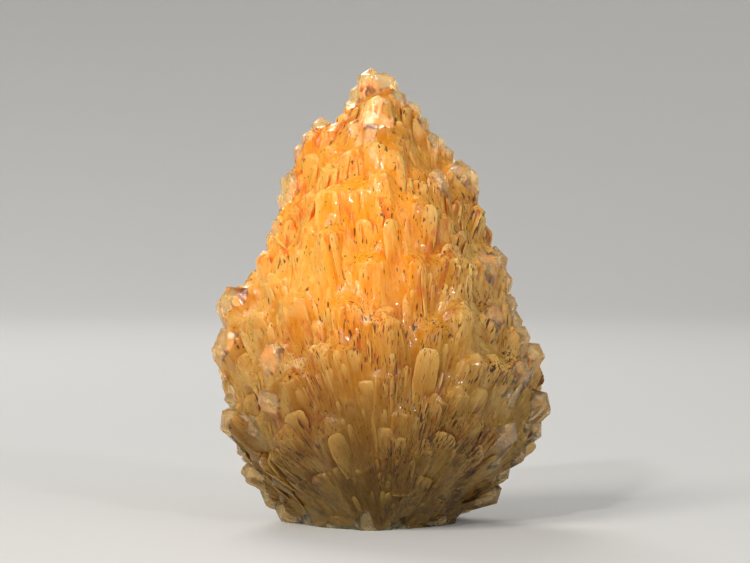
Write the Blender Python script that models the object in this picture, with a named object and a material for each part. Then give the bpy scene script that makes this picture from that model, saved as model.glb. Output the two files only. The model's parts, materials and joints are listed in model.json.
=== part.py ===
"""A calcite specimen: dogtooth crystals grown together into one upright spire.

Every crystal points away from one growth centre, low in the middle of the base, so
the tips stand upright at the top and lean outwards on the flanks. At the front and
the back they lie along the surface like shingles. The whole cluster is one piece, cut
off flat where it was broken from the rock.
Built in metres, +Z up, with the front towards -Y.
"""

import math
import random
from collections import namedtuple

import bmesh
import bpy
from mathutils import Matrix, Vector, noise

MM = 0.001
NODE = "calcite_cluster"
SEED = 2410

# Driving dimensions, in millimetres.
DEPTH = 43.0
GROWTH_CENTRE = Vector((0.6, 0.0, 5.0))

# How the crystals fan out from the growth centre: freely at the flanks, and laid
# along the surface at the front and the back.
FLANK_SPREAD = 0.85
FACE_SPREAD = 0.4
WANDER_DEG = 6.0
LEADER_WANDER = 0.4

# The outline from the front: height, reach to the left and reach to the right.
OUTLINE = (
    (0.0, 14.0, 11.5),
    (5.0, 19.0, 17.5),
    (11.0, 22.8, 22.0),
    (18.0, 25.6, 26.6),
    (27.0, 26.2, 27.0),
    (35.0, 25.0, 24.2),
    (43.0, 21.2, 20.8),
    (52.0, 17.4, 16.4),
    (61.0, 14.2, 13.2),
    (68.0, 9.8, 7.6),
    (74.0, 4.4, 3.8),
    (79.5, 0.9, 0.6),
)
WIDEST = 26.6
DEPTH_TAPER = 0.85

# The crystals between the leaders.
CANDIDATES = 2000
FILLER_BREADTH = (6.6, 11.0)
FILLER_FLATNESS = (0.38, 0.56)
FILLER_REACH = (-0.9, 0.5)
FILLER_LENGTH = 2.3
FILLER_TOP = 77.0
SLIMNESS = ((0.0, 1.0), (40.0, 1.0), (FILLER_TOP, 0.6))
SPACING = 0.6
SHINGLE = 0.56
LOWEST_TIP = 1.6
FOOT_HEIGHT = 6.0
FOOT_SIDES = 0.5
PROUD_SHARE = 0.13
PROUD_REACH = 1.3
PROUD_GROWTH = 1.15
GOLDEN_ANGLE = math.pi * (3.0 - math.sqrt(5.0))

# A crystal's six-sided rings, from its root to its neck: place along it, girth.
STATIONS = ((1.0, 0.6), (0.42, 1.0), (0.1, 0.82))
SIDES = 6
CORNER_SHIFT_DEG = 11.0
CORNER_SPREAD_DEG = 7.0
CORNER_REACH = (0.9, 1.05)
TIP_LEAN = 0.12

# The massive middle that the crystals grow from.
CORE_SIDES = 13
CORE_RINGS = (
    (-4.0, 0.97),
    (2.0, 0.96),
    (8.0, 0.94),
    (16.0, 0.91),
    (27.0, 0.89),
    (40.0, 0.87),
    (53.0, 0.85),
    (62.0, 0.8),
    (70.0, 0.66),
)
CORE_TOP = 77.0
CORE_ROUGHNESS = 1.1

CALCITE_COLOUR = (0.86, 0.47, 0.15, 1.0)

Crystal = namedtuple("Crystal", "tip axis facing length breadth flatness")

# The crystals that give the specimen its outline: (x, y, z) of the tip and breadth.
SPIRE_LEADERS = (
    ((-1.6, -0.4, 79.5), 5.4),
    ((0.7, 0.4, 78.8), 5.2),
    ((-3.4, 0.6, 76.6), 4.4),
    ((3.0, -1.4, 75.8), 4.4),
    ((5.2, 0.6, 73.8), 4.4),
    ((6.7, -1.2, 71.4), 4.0),
    ((-4.6, -1.6, 74.2), 4.0),
    ((-6.4, 0.8, 71.8), 3.8),
    ((-8.2, -2.0, 69.4), 4.0),
)
RIGHT_LEADERS = (
    ((8.4, -1.0, 68.8), 5.4),
    ((11.2, 1.5, 66.1), 5.0),
    ((13.6, -1.0, 63.6), 6.4),
    ((14.9, 1.0, 60.4), 5.0),
    ((16.2, -1.5, 56.0), 5.0),
    ((17.7, 1.0, 52.6), 5.4),
    ((20.3, -1.5, 48.4), 6.6),
    ((21.4, 1.5, 44.6), 5.4),
    ((22.5, -1.0, 40.2), 5.6),
    ((23.5, 1.2, 37.2), 5.0),
    ((25.1, -4.2, 34.6), 5.6),
    ((27.1, -2.1, 31.8), 5.6),
    ((27.5, 4.2, 28.0), 6.4),
    ((28.5, -4.2, 23.4), 7.0),
    ((27.8, 3.2, 18.4), 7.0),
    ((25.4, -3.2, 14.4), 6.4),
    ((22.7, 2.1, 10.8), 6.4),
    ((20.9, -3.2, 6.8), 6.0),
    ((17.3, 3.2, 3.8), 5.6),
)
LEFT_LEADERS = (
    ((-10.6, 1.0, 71.0), 4.8),
    ((-12.6, -1.0, 68.8), 4.4),
    ((-13.9, 0.8, 66.4), 4.4),
    ((-15.2, -0.6, 62.0), 4.6),
    ((-16.4, 0.5, 58.6), 4.8),
    ((-17.6, -1.0, 54.0), 4.8),
    ((-19.4, 1.0, 51.4), 5.0),
    ((-20.1, -1.8, 47.8), 5.0),
    ((-21.9, 1.5, 44.4), 4.8),
    ((-24.4, 0.5, 41.8), 6.4),
    ((-26.9, -1.0, 41.4), 8.8),
    ((-28.4, -3.6, 33.9), 9.6),
    ((-27.7, 1.3, 29.0), 6.0),
    ((-27.0, -2.1, 24.2), 6.4),
    ((-28.1, -5.2, 19.4), 7.4),
    ((-25.6, 2.1, 14.6), 6.4),
    ((-24.4, -2.1, 9.4), 6.4),
    ((-21.4, 3.2, 5.2), 6.4),
    ((-18.6, -3.2, 2.8), 5.6),
)
FRONT_LEADERS = (
    ((-2.0, -6.4, 68.4), 4.4),
    ((-6.8, -6.4, 64.5), 4.4),
    ((-11.8, -6.4, 58.6), 5.0),
    ((5.0, -8.0, 62.4), 5.2),
    ((12.6, -12.2, 48.4), 8.4),
    ((-8.4, -14.2, 52.6), 6.4),
    ((0.6, -20.0, 38.0), 7.4),
    ((-6.9, -20.4, 33.0), 5.4),
    ((20.2, -12.6, 30.0), 8.4),
    ((12.6, -19.0, 25.6), 6.4),
    ((-16.6, -15.8, 27.6), 7.4),
    ((-18.8, -13.0, 14.4), 6.4),
)
LEADER_LENGTH = 2.3
LEADER_SHORTEST = 9.0
LEADER_TURN = (0.1, 0.6)
LEADER_FLATNESS = (0.5, 0.7)
FRONT = Vector((0.0, -1.0, 0.0))


def between(value, rows):
    """The row of numbers at a value, on straight lines between the rows given."""
    value = min(max(value, rows[0][0]), rows[-1][0])
    for low, high in zip(rows, rows[1:]):
        if value <= high[0]:
            share = (value - low[0]) / (high[0] - low[0])
            return [a + (b - a) * share for a, b in zip(low[1:], high[1:])]
    return list(rows[-1][1:])


def girth(height):
    """(middle in x, half width, half depth) of the body at a height."""
    left, right = between(height, OUTLINE)
    half_width = (left + right) / 2
    slimness = (half_width / WIDEST) ** DEPTH_TAPER
    return (right - left) / 2, half_width, slimness * DEPTH / 2


def surface_point(azimuth, height, share=1.0):
    """The point of the body's outer form at an azimuth and a height."""
    middle, half_width, half_depth = girth(height)
    return Vector(
        (
            middle + half_width * share * math.cos(azimuth),
            half_depth * share * math.sin(azimuth),
            height,
        )
    )


def outward(point):
    """The level direction from the body's middle through a point."""
    middle, half_width, half_depth = girth(point.z)
    return Vector(
        ((point.x - middle) / half_width**2, point.y / half_depth**2, 0.0)
    ).normalized()


def surface_normal(point):
    """The body's outward normal at the azimuth and height of a point."""
    middle, half_width, half_depth = girth(point.z)
    azimuth = math.atan2(point.y / half_depth, (point.x - middle) / half_width)
    turn, rise = 0.02, 1.0
    around = surface_point(azimuth + turn, point.z) - surface_point(azimuth - turn, point.z)
    upwards = surface_point(azimuth, point.z + rise) - surface_point(azimuth, point.z - rise)
    return around.cross(upwards).normalized()


def growth_direction(point, rng, wander_deg):
    """The way a crystal with its tip at this point grows, give or take its wander."""
    away = (point - GROWTH_CENTRE).normalized()
    normal = surface_normal(point)
    along = (away - normal * away.dot(normal)).normalized()
    spread = FACE_SPREAD + (FLANK_SPREAD - FACE_SPREAD) * outward(point).x ** 2
    turn = math.radians(wander_deg)
    sideways = Vector([rng.gauss(0.0, 0.5) for _ in range(3)])
    return (along.lerp(away, spread).normalized() + sideways * turn).normalized()


def leaders(rng):
    """The crystals with places of their own."""
    found = []
    for row in (SPIRE_LEADERS, RIGHT_LEADERS, LEFT_LEADERS, FRONT_LEADERS):
        for place, breadth in row:
            tip = Vector(place)
            facing = FRONT + outward(tip) * rng.uniform(*LEADER_TURN)
            found.append(
                Crystal(
                    tip,
                    growth_direction(tip, rng, WANDER_DEG * LEADER_WANDER),
                    facing,
                    max(LEADER_SHORTEST, breadth * LEADER_LENGTH),
                    breadth,
                    rng.uniform(*LEADER_FLATNESS),
                )
            )
    return found


def evenly_round(count, top):
    """(azimuth, height) of points that share the body's side out evenly."""
    steps = 400
    heights = [top * (i + 0.5) / steps for i in range(steps)]
    areas = [sum(girth(height)[1:]) for height in heights]
    whole = sum(areas)
    found, passed, place = [], 0.0, 0
    for i in range(count):
        wanted = whole * (i + 0.5) / count
        while passed + areas[place] < wanted:
            passed += areas[place]
            place += 1
        found.append((i * GOLDEN_ANGLE, heights[place]))
    return found


def crowds(crystal, other):
    """Whether two crystals' tips are too close. They overlap more end to end."""
    apart = crystal.tip - other.tip
    along = apart.dot(crystal.axis)
    beside = (apart - crystal.axis * along).length
    room = SPACING * (crystal.breadth + other.breadth) / 2
    return math.hypot(along * SHINGLE, beside) < room


def fillers(rng, leading):
    """The crystals between the leaders, wherever there is room for one."""
    places = evenly_round(CANDIDATES, FILLER_TOP)
    rng.shuffle(places)
    found = []
    for azimuth, height in places:
        breadth = rng.uniform(*FILLER_BREADTH) * between(height, SLIMNESS)[0]
        reach = rng.uniform(*FILLER_REACH)
        if rng.random() < PROUD_SHARE:
            breadth *= PROUD_GROWTH
            reach += PROUD_REACH
        if height < FOOT_HEIGHT and abs(math.cos(azimuth)) < FOOT_SIDES:
            continue
        tip = surface_point(azimuth, max(height, LOWEST_TIP))
        tip += outward(tip) * reach
        axis = growth_direction(tip, rng, WANDER_DEG)
        facing = surface_normal(tip) + Vector([rng.gauss(0.0, 0.2) for _ in range(3)])
        length = breadth * FILLER_LENGTH
        crystal = Crystal(tip, axis, facing, length, breadth, rng.uniform(*FILLER_FLATNESS))
        if not any(crowds(crystal, other) for other in [*leading, *found]):
            found.append(crystal)
    return found


def add_crystal(bm, crystal, rng):
    """Adds one dogtooth crystal: a flattened six-sided spindle with a blunt cap."""
    across = crystal.axis.cross(crystal.facing).normalized()
    facing = across.cross(crystal.axis)
    corners = []
    for k in range(SIDES):
        spread = rng.uniform(-CORNER_SPREAD_DEG, CORNER_SPREAD_DEG)
        angle = math.radians(360 / SIDES * k + CORNER_SHIFT_DEG * (k % 2) + spread)
        reach = crystal.breadth / 2 * rng.uniform(*CORNER_REACH)
        corners.append((math.cos(angle) * reach, math.sin(angle) * reach * crystal.flatness))
    lean = rng.uniform(-TIP_LEAN, TIP_LEAN) * crystal.breadth
    rings = []
    for place, scale in STATIONS:
        middle = crystal.tip - crystal.axis * (crystal.length * place) + across * lean * (1 - place)
        rings.append(
            [bm.verts.new((middle + (across * x + facing * y) * scale) * MM) for x, y in corners]
        )
    apex = bm.verts.new((crystal.tip + across * lean) * MM)
    bm.faces.new(rings[0])
    for k in range(SIDES):
        after = (k + 1) % SIDES
        for low, high in zip(rings, rings[1:]):
            bm.faces.new((low[after], low[k], high[k], high[after]))
        bm.faces.new((rings[-1][after], rings[-1][k], apex))


def new_object(name, bm, collection):
    """A mesh object made from a bmesh, with its faces pointing outwards."""
    bmesh.ops.recalc_face_normals(bm, faces=bm.faces)
    mesh = bpy.data.meshes.new(name)
    bm.to_mesh(mesh)
    bm.free()
    obj = bpy.data.objects.new(name, mesh)
    collection.objects.link(obj)
    return obj


def core(collection):
    """The massive middle: rings of corners, pushed in and out so that it is rough."""
    bm = bmesh.new()
    rings = []
    for level, (height, share) in enumerate(CORE_RINGS):
        ring = []
        for k in range(CORE_SIDES):
            azimuth = 2 * math.pi * (k + 0.5 * (level % 2)) / CORE_SIDES
            point = surface_point(azimuth, height, share)
            point += outward(point) * noise.noise(point * 0.2) * CORE_ROUGHNESS * 2
            ring.append(bm.verts.new(point * MM))
        rings.append(ring)
    bm.faces.new(rings[0])
    for low, high in zip(rings, rings[1:]):
        for k in range(CORE_SIDES):
            after = (k + 1) % CORE_SIDES
            bm.faces.new((low[k], low[after], high[after], high[k]))
    top = bm.verts.new((surface_point(0.0, CORE_TOP, 0.0)) * MM)
    for k in range(CORE_SIDES):
        bm.faces.new((rings[-1][k], rings[-1][(k + 1) % CORE_SIDES], top))
    bmesh.ops.triangulate(bm, faces=bm.faces)
    return new_object("core", bm, collection)


def ground(collection):
    """A block under the level of the cut, to part the base from what lies below it."""
    bm = bmesh.new()
    size = 4 * WIDEST * MM
    place = Matrix.Translation((0.0, 0.0, -size / 2)) @ Matrix.Scale(size, 4)
    bmesh.ops.create_cube(bm, size=1.0, matrix=place)
    return new_object("ground", bm, collection)


def evaluated_mesh(obj):
    """A new mesh of the object as its modifiers leave it."""
    graph = bpy.context.evaluated_depsgraph_get()
    return bpy.data.meshes.new_from_object(obj.evaluated_get(graph))


def grown_together(body, crystals, cutter):
    """One mesh of the middle with all its crystals, cut off flat underneath."""
    join = body.modifiers.new("grow together", "BOOLEAN")
    join.operation = "UNION"
    join.operand_type = "COLLECTION"
    join.collection = crystals
    cut = body.modifiers.new("cut the base", "BOOLEAN")
    cut.operation = "DIFFERENCE"
    cut.object = cutter
    return evaluated_mesh(body)


def skin(bm):
    """The faces of the outer skin: the largest set of faces that touch each other."""
    left, largest = set(bm.faces), set()
    while left:
        patch, edge = set(), [next(iter(left))]
        while edge:
            face = edge.pop()
            if face not in patch:
                patch.add(face)
                edge.extend(next_to for e in face.edges for next_to in e.link_faces)
        left -= patch
        largest = max(largest, patch, key=len)
    return largest


def fill_cavities(mesh):
    """Drops the walls of the small hollows that the crystals have shut in."""
    bm = bmesh.new()
    bm.from_mesh(mesh)
    kept = skin(bm)
    shut_in = [face for face in bm.faces if face not in kept]
    bmesh.ops.delete(bm, geom=shut_in, context="FACES")
    bm.to_mesh(mesh)
    bm.free()


def centre_on_base(mesh):
    """Moves the mesh so that the middle of its box stands on the origin."""
    corners = [vertex.co for vertex in mesh.vertices]
    low = [min(co[i] for co in corners) for i in range(3)]
    high = [max(co[i] for co in corners) for i in range(3)]
    middle = Vector(((low[0] + high[0]) / 2, (low[1] + high[1]) / 2, low[2]))
    mesh.transform(Matrix.Translation(-middle))


def calcite():
    """Honey calcite, glossy and cloudy."""
    material = bpy.data.materials.new("calcite")
    material.use_nodes = True
    surface = material.node_tree.nodes["Principled BSDF"]
    surface.inputs["Base Color"].default_value = CALCITE_COLOUR
    surface.inputs["Roughness"].default_value = 0.22
    surface.inputs["Metallic"].default_value = 0.0
    material.diffuse_color = CALCITE_COLOUR
    return material


def main():
    """Builds the specimen."""
    for obj in list(bpy.data.objects):
        bpy.data.objects.remove(obj)
    rng = random.Random(SEED)
    helpers = bpy.data.collections.new("helpers")
    crystals = bpy.data.collections.new("crystals")
    for collection in (helpers, crystals):
        bpy.context.scene.collection.children.link(collection)

    grown = leaders(rng)
    grown += fillers(rng, grown)
    for crystal in grown:
        bm = bmesh.new()
        add_crystal(bm, crystal, rng)
        new_object("crystal", bm, crystals)
    body, cutter = core(helpers), ground(helpers)
    bpy.context.view_layer.update()

    mesh = grown_together(body, crystals, cutter)
    for obj in [*helpers.objects, *crystals.objects]:
        bpy.data.objects.remove(obj)
    for collection in (helpers, crystals):
        bpy.data.collections.remove(collection)
    fill_cavities(mesh)
    centre_on_base(mesh)
    mesh.name = NODE
    mesh.materials.clear()
    mesh.materials.append(calcite())
    bpy.context.scene.collection.objects.link(bpy.data.objects.new(NODE, mesh))


main()
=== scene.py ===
"""The looks of a calcite specimen: honey crystals grown together into one upright spire.

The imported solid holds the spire's form and its leading crystals. This script lays the
finer crystals over it like shingles, joins them all into one body, and dresses that
body in translucent calcite: cloudy and honey-coloured inside, clear where it is thin,
with growth streaks, rust stains and dark specks. Everything is in metres, +Z up, with
the front towards -Y.
"""

import json
import logging
import math
from collections.abc import Callable, Iterator
from dataclasses import dataclass, field, replace
from enum import Enum

import bmesh
import bpy
import numpy as np
from mathutils import Matrix, Vector, noise
from mathutils.bvhtree import BVHTree

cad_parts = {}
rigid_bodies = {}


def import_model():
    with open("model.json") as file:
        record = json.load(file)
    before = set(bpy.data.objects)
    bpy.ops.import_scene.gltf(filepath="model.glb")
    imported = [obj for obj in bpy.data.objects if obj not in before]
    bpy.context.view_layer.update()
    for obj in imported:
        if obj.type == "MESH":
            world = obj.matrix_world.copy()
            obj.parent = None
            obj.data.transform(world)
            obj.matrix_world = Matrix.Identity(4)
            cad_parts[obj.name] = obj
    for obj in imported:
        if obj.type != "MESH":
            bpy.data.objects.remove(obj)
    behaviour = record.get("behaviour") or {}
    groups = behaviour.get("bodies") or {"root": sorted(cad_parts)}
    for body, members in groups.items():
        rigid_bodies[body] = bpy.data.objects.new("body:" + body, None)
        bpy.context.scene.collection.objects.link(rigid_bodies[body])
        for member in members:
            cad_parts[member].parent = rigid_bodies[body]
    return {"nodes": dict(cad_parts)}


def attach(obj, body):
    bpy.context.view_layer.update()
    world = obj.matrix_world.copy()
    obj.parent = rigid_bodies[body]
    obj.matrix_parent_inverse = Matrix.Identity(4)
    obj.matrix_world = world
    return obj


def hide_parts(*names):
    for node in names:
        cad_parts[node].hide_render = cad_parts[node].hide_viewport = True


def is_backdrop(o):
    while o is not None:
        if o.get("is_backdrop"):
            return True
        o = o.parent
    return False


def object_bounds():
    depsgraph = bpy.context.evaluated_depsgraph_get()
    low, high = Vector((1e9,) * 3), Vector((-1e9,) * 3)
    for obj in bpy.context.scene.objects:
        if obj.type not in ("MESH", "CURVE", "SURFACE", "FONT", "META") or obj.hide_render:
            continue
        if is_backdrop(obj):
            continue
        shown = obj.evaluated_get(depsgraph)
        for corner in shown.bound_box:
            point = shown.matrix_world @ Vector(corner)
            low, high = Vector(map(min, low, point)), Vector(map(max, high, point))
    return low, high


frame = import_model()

CAD_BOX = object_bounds()
MM = 0.001
NODE = "calcite_cluster"
SEED = 4127
# How near two corners of the solid, and of a finished mesh, are one and the same.
WELD = 0.0001 * MM
SHORTEST = 0.001 * MM
Colour = tuple[float, float, float]
Span = tuple[float, float]
Mesh = bpy.types.Mesh
Material = bpy.types.Material
Socket = bpy.types.NodeSocket

log = logging.getLogger("calcite")


def between(span: Span, share: float) -> float:
    """The value at a share of the way through a span."""
    return span[0] + (span[1] - span[0]) * share


@dataclass(frozen=True)
class GrowthField:
    """How the crystals fan out upwards and to both sides, seen from the front.

    Attributes:
        centre_x_mm: Where the fan starts, from left to right.
        centre_z_mm: Where it starts, a little below the cut.
        depth_share: How much less the crystals turn to the front and the back.
        lift_mm: How much more they turn upwards there.
        full_lift_mm: How far to the front or back they do so in full.
    """

    centre_x_mm: float = 0.6
    centre_z_mm: float = -2.0
    depth_share: float = 0.2
    lift_mm: float = 5.0
    full_lift_mm: float = 20.0

    def direction(self, point: Vector) -> Vector:
        """The way a crystal at a point grows, as a direction of length 1."""
        x, y, z = point / MM
        rise = z - self.centre_z_mm + self.lift_mm * min(abs(y) / self.full_lift_mm, 1)
        return Vector((x - self.centre_x_mm, y * self.depth_share, rise)).normalized()


@dataclass(frozen=True)
class Growth:
    """The proportions of one kind of fine crystal.

    Attributes:
        breadth_mm: The least and the most breadth.
        slenderness: Length as a share of breadth.
        flatness: Thickness as a share of breadth, least and most.
        proud_mm: How far its outer side stands out of the surface, least and most.
        tilt_deg: How far it leans out of the surface, least and most.
        rings: Each six-sided ring from root to tip: place along it, girth.
    """

    breadth_mm: Span
    slenderness: float
    flatness: Span
    proud_mm: Span
    tilt_deg: Span
    rings: tuple[Span, ...]


class Habit(Enum):
    """The kinds of fine crystal that cover the cluster."""

    FIBRE = Growth(
        breadth_mm=(1.0, 1.9),
        slenderness=6.0,
        flatness=(0.3, 0.5),
        proud_mm=(0.0, 0.12),
        tilt_deg=(0.0, 1.5),
        rings=((1.0, 0.5), (0.4, 1.0), (0.08, 0.86), (0.025, 0.62), (0.0, 0.32)),
    )
    BLADE = Growth(
        breadth_mm=(2.6, 5.2),
        slenderness=2.8,
        flatness=(0.2, 0.32),
        proud_mm=(0.08, 0.35),
        tilt_deg=(0.3, 2.5),
        rings=((1.0, 0.5), (0.45, 1.0), (0.12, 0.92), (0.035, 0.68), (0.0, 0.36)),
    )
    TOOTH = Growth(
        breadth_mm=(1.8, 3.4),
        slenderness=2.4,
        flatness=(0.45, 0.65),
        proud_mm=(-0.5, 0.15),
        tilt_deg=(0.0, 5.0),
        rings=((1.0, 0.6), (0.5, 1.0), (0.2, 0.9), (0.06, 0.64), (0.0, 0.32)),
    )
    PLATE = Growth(
        breadth_mm=(4.0, 7.0),
        slenderness=2.5,
        flatness=(0.3, 0.38),
        proud_mm=(0.8, 1.2),
        tilt_deg=(2.0, 5.0),
        rings=((1.0, 0.6), (0.5, 1.0), (0.14, 0.95), (0.045, 0.76), (0.0, 0.46)),
    )


@dataclass(frozen=True)
class GreatCrystal:
    """A crystal that stands out among the fine ones, as seen from the front.

    Attributes:
        x_mm: Where its tip is, from left to right.
        z_mm: How high its tip is.
        breadth_mm: Its breadth.
        tone: Its own shade, from 0 to 1.
    """

    x_mm: float
    z_mm: float
    breadth_mm: float
    tone: float


GREAT_CRYSTALS = tuple(
    GreatCrystal(*row)
    for row in (
        (-0.6, 78.2, 4.6, 0.9),
        (-5.7, 71.5, 3.4, 0.3),
        (4.1, 72.5, 4.0, 0.7),
        (-1.6, 66.5, 5.0, 0.6),
        (8.4, 67.6, 4.2, 0.9),
        (-12.0, 64.5, 4.4, 0.8),
        (13.6, 62.6, 5.4, 0.9),
        (6.4, 60.0, 4.6, 0.5),
        (-7.0, 58.4, 5.2, 0.7),
        (-15.6, 53.0, 5.6, 0.6),
        (1.8, 53.6, 4.8, 0.5),
        (12.2, 49.0, 5.8, 1.0),
        (19.6, 47.4, 4.8, 0.7),
        (-18.8, 43.0, 4.4, 0.6),
        (-22.0, 37.6, 6.0, 1.0),
        (1.0, 38.8, 6.2, 0.9),
        (15.4, 38.0, 5.4, 0.9),
        (-6.0, 33.0, 5.2, 0.2),
        (8.6, 31.6, 4.8, 0.6),
        (22.6, 29.4, 6.0, 0.9),
        (-14.4, 29.6, 5.4, 0.8),
        (17.4, 24.6, 5.0, 0.6),
        (-23.0, 22.6, 5.4, 0.8),
        (-9.4, 18.8, 4.8, 0.6),
        (4.0, 19.6, 4.6, 0.7),
        (25.6, 24.4, 5.4, 0.9),
        (24.8, 18.4, 5.8, 0.7),
        (11.6, 25.6, 4.6, 0.8),
        (11.4, 17.2, 5.0, 0.9),
        (20.0, 12.6, 5.2, 0.6),
        (-3.0, 24.8, 4.8, 0.8),
        (-24.6, 29.4, 5.2, 0.8),
        (-15.6, 20.4, 5.0, 0.7),
        (-20.6, 12.4, 5.6, 0.8),
        (-11.0, 9.8, 5.0, 0.6),
        (-1.8, 11.4, 4.8, 0.7),
        (7.6, 9.6, 5.2, 0.8),
    )
)


@dataclass
class FineCrystal:
    """One fine crystal in its place.

    Attributes:
        tip: The middle of its outer end.
        axis: The way it points.
        facing: The way its flat side faces.
        breadth: Its breadth in metres.
        flatness: Thickness as a share of breadth.
        growth: Its proportions.
        turn: How far its corners are turned about the axis, in radians.
        lean: How far its end is set to one side, as a share of its breadth.
        tone: Its own shade, from 0 to 1.
        length: Its length in metres.
    """

    tip: Vector
    axis: Vector
    facing: Vector
    breadth: float
    flatness: float
    growth: Growth
    turn: float
    lean: float
    tone: float
    length: float = 0.0

    SIDES = 6

    def corners(self) -> list[Vector]:
        """The corners of every ring, root first."""
        across = self.axis.cross(self.facing).normalized()
        facing = across.cross(self.axis)
        found = []
        for place, girth in self.growth.rings:
            middle = self.tip - self.axis * (self.length * place)
            middle += across * (self.lean * self.breadth * (1 - place))
            for k in range(self.SIDES):
                angle = self.turn + 2 * math.pi * k / self.SIDES
                x = math.cos(angle) * girth * self.breadth / 2
                y = math.sin(angle) * girth * self.breadth / 2 * self.flatness
                found.append(middle + across * x + facing * y)
        return found

    @classmethod
    def faces(cls) -> list[tuple[int, ...]]:
        """The faces between those corners, turned outwards."""
        n = cls.SIDES
        last = len(Habit.FIBRE.value.rings) - 1
        root, end = tuple(range(n)), tuple(range(last * n, last * n + n))
        found: list[tuple[int, ...]] = [root, end[::-1]]
        for ring in range(last):
            for k in range(n):
                low, high = ring * n, (ring + 1) * n
                after = (k + 1) % n
                found.append((low + after, low + k, high + k, high + after))
        return found

    def mesh(self, name: str) -> Mesh:
        """The crystal as a closed mesh."""
        made = bpy.data.meshes.new(name)
        made.from_pydata([tuple(corner) for corner in self.corners()], [], self.faces())
        return made


def welded(mesh: Mesh) -> Mesh:
    """A copy of a mesh with its doubled points joined, all in triangles."""
    bm = bmesh.new()
    bm.from_mesh(mesh)
    bmesh.ops.remove_doubles(bm, verts=bm.verts, dist=WELD)
    bmesh.ops.triangulate(bm, faces=bm.faces)
    made = bpy.data.meshes.new("solid")
    bm.to_mesh(made)
    bm.free()
    return made


def ground_block() -> Mesh:
    """A block below the level of the cut."""
    side = 400 * MM
    bm = bmesh.new()
    place = Matrix.Translation((0, 0, -side / 2)) @ Matrix.Scale(side, 4)
    bmesh.ops.create_cube(bm, size=1.0, matrix=place)
    mesh = bpy.data.meshes.new("ground")
    bm.to_mesh(mesh)
    bm.free()
    return mesh


def keep_parts(mesh: Mesh, choose: Callable[[list[set]], list[set]]) -> None:
    """Keeps some of a mesh's separate parts, and turns it all into triangles.

    Args:
        mesh: The mesh.
        choose: Picks the parts to keep, each a set of faces that touch each other.
    """
    bm = bmesh.new()
    bm.from_mesh(mesh)
    bmesh.ops.triangulate(bm, faces=bm.faces)
    left, parts = set(bm.faces), []
    while left:
        part, edge = set(), [next(iter(left))]
        while edge:
            face = edge.pop()
            if face not in part:
                part.add(face)
                edge.extend(other for e in face.edges for other in e.link_faces if other not in part)
        left -= part
        parts.append(part)
    kept = set().union(*choose(parts))
    bmesh.ops.delete(bm, geom=[f for f in bm.faces if f not in kept], context="FACES")
    bm.to_mesh(mesh)
    bm.free()


def clean(mesh: Mesh) -> None:
    """Rids a mesh of triangles of what a Boolean leaves: needles, and pairs back to back."""
    bm = bmesh.new()
    bm.from_mesh(mesh)
    same = bmesh.ops.find_doubles(bm, verts=bm.verts, dist=SHORTEST)["targetmap"]
    kept: dict[frozenset, list[int]] = {}
    for face in bm.faces:
        corners = [same.get(vertex, vertex).index for vertex in face.verts]
        key = frozenset(corners)
        if len(key) == len(corners) and kept.pop(key, None) is None:
            kept[key] = corners
    used, faces = np.unique(list(kept.values()), return_inverse=True)
    bm.verts.ensure_lookup_table()
    points = [tuple(bm.verts[i].co) for i in used]
    bm.free()
    mesh.clear_geometry()
    mesh.from_pydata(points, [], faces.reshape(-1, 3).tolist())


def volume(part: set) -> float:
    """The volume that a closed set of triangles shuts in."""
    total = 0.0
    for face in part:
        a, b, c = (vertex.co for vertex in face.verts)
        total += a.dot(b.cross(c))
    return total / 6


class Joint(Enum):
    """How a Boolean puts meshes together."""

    UNION = "UNION"
    DIFFERENCE = "DIFFERENCE"


def joined(joint: Joint, first: Mesh, others: list[Mesh]) -> Mesh:
    """The Boolean of closed meshes.

    Args:
        joint: Whether the others are joined to the first or cut from it.
        first: The mesh that is worked on, which stays.
        others: The other meshes. They are removed.

    Returns:
        The new mesh.
    """
    collection = bpy.data.collections.new("others")
    for mesh in others:
        collection.objects.link(bpy.data.objects.new("other", mesh))
    body = bpy.data.objects.new("first", first)
    bpy.context.scene.collection.objects.link(body)
    bpy.context.scene.collection.children.link(collection)
    modifier = body.modifiers.new("boolean", "BOOLEAN")
    modifier.operation = joint.value
    modifier.solver = "MANIFOLD"
    modifier.operand_type = "COLLECTION"
    modifier.collection = collection
    graph = bpy.context.evaluated_depsgraph_get()
    made = bpy.data.meshes.new_from_object(body.evaluated_get(graph))
    bpy.data.objects.remove(body)
    for helper in list(collection.objects):
        bpy.data.meshes.remove(helper.data)
    bpy.data.collections.remove(collection)
    if len(made.polygons) == len(first.polygons):
        raise RuntimeError("a Boolean was skipped, because a mesh isn't closed")
    return made


def grown_together(first: Mesh, others: list[Mesh]) -> Mesh:
    """One closed mesh of the outer skin of several, cut off flat underneath.

    Args:
        first: A closed mesh.
        others: Closed meshes to join to it. They are removed.

    Returns:
        The new mesh, all triangles.
    """
    whole = joined(Joint.UNION, first, others)
    made = joined(Joint.DIFFERENCE, whole, [ground_block()])
    bpy.data.meshes.remove(whole)
    keep_parts(made, lambda parts: [max(parts, key=len)])
    return made


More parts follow.
